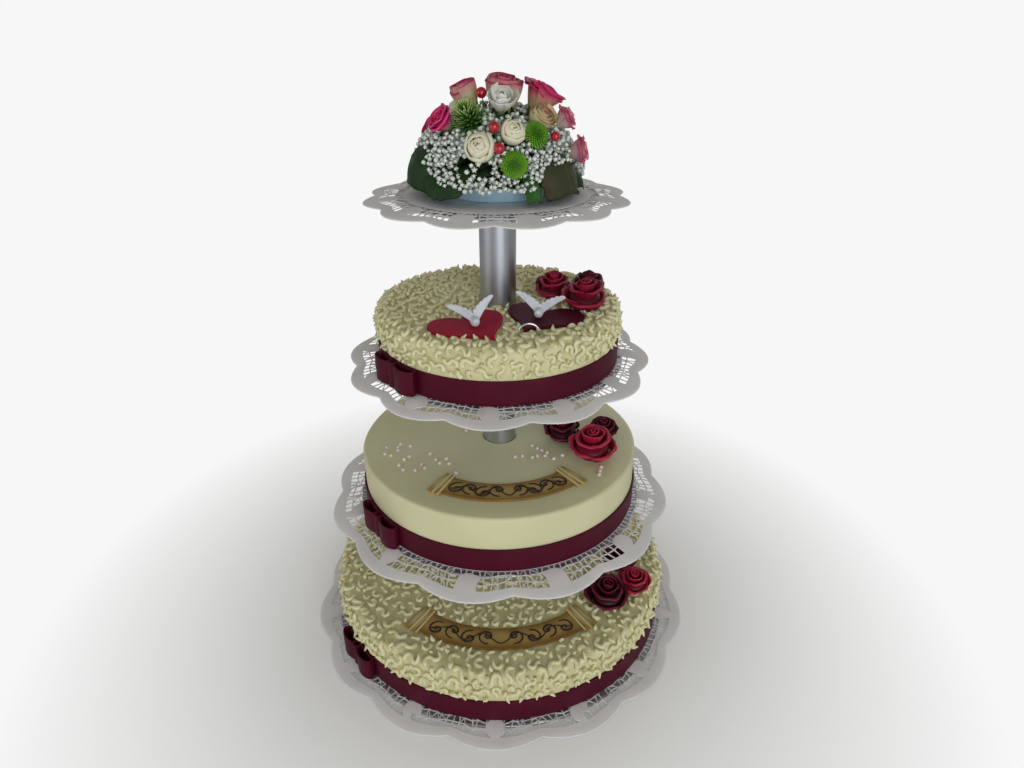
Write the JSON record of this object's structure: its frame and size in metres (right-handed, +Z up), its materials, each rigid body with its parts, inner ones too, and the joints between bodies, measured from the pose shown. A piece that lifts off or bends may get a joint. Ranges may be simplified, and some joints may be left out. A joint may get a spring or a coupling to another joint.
{
  "type": "tiered wedding cake",
  "caption": "Tiered round wedding cake on a central column stand, dressed with marzipan bands, bows and roses, hearts and doves, and a flower arrangement on its top plate.",
  "frame": {"origin": "centre of the bottom plate's underside, on the surface the stand rests on", "axes": "+Z up along the column, -Y towards the front with the banners and hearts, +X to the right seen from the front"},
  "size_m": [0.3666, 0.374, 0.4993],
  "materials": {
    "aluminium": "satin turned",
    "doily_paper": "matt embossed paper lace",
    "piped_cream": "soft piped cream",
    "smooth_icing": "smooth satin icing",
    "marzipan_burgundy": "rolled marzipan",
    "marzipan_crimson": "shaped marzipan",
    "plaque_marzipan": "rolled marzipan, airbrushed edges",
    "sugar_white": "cast sugar",
    "ring_silver": "polished",
    "bowl_blue": "glazed",
    "leaf_green": "satin leaf",
    "mum_green": "soft petals",
    "petal_cream": "soft petals",
    "petal_pink": "soft petals",
    "pearl_red": "glossy"
  },
  "bodies": {
    "root": {"plate_1": "aluminium", "plate_2": "aluminium", "plate_3": "aluminium", "plate_4": "aluminium", "column_1": "aluminium", "column_2": "aluminium", "column_3": "aluminium", "doily_1": "doily_paper", "doily_2": "doily_paper", "doily_3": "doily_paper", "doily_4": "doily_paper", "cake_bottom": "piped_cream", "cake_middle": "smooth_icing", "cake_top": "piped_cream", "band_1": "marzipan_burgundy", "band_2": "marzipan_burgundy", "band_3": "marzipan_burgundy", "bow_1": "marzipan_burgundy", "bow_2": "marzipan_burgundy", "bow_3": "marzipan_burgundy", "banner_bottom": "plaque_marzipan", "banner_middle": "plaque_marzipan", "heart_left": "marzipan_crimson", "heart_right": "marzipan_burgundy", "dove_left": "sugar_white", "dove_right": "sugar_white", "ring": "ring_silver", "rose_bottom_1": "marzipan_crimson", "rose_bottom_2": "marzipan_crimson", "rose_bottom_3": "marzipan_crimson", "rose_middle_1": "marzipan_crimson", "rose_middle_2": "marzipan_crimson", "rose_middle_3": "marzipan_crimson", "rose_top_1": "marzipan_crimson", "rose_top_2": "marzipan_crimson", "rose_top_3": "marzipan_crimson", "bowl": "bowl_blue", "greenery": "leaf_green", "tall_rose_left": "petal_cream", "tall_rose_middle": "petal_cream", "open_rose_right": "petal_pink", "low_rose_right": "petal_cream", "white_freesia": "petal_cream", "cream_rose_right": "petal_cream", "cream_rose_left": "petal_cream", "button_mum_upper": "mum_green", "button_mum_lower": "mum_green", "green_thistle": "mum_green", "open_rose_left": "petal_pink", "pink_rose_upper": "petal_pink", "pink_rose_right": "petal_pink", "pearl_pin_1": "pearl_red", "pearl_pin_2": "pearl_red", "pearl_pin_3": "pearl_red", "pearl_pin_4": "pearl_red", "back_rose_left": "petal_cream", "back_rose_middle": "petal_pink", "back_mum": "mum_green", "back_rose_side": "petal_pink"}
  },
  "joints": []
}
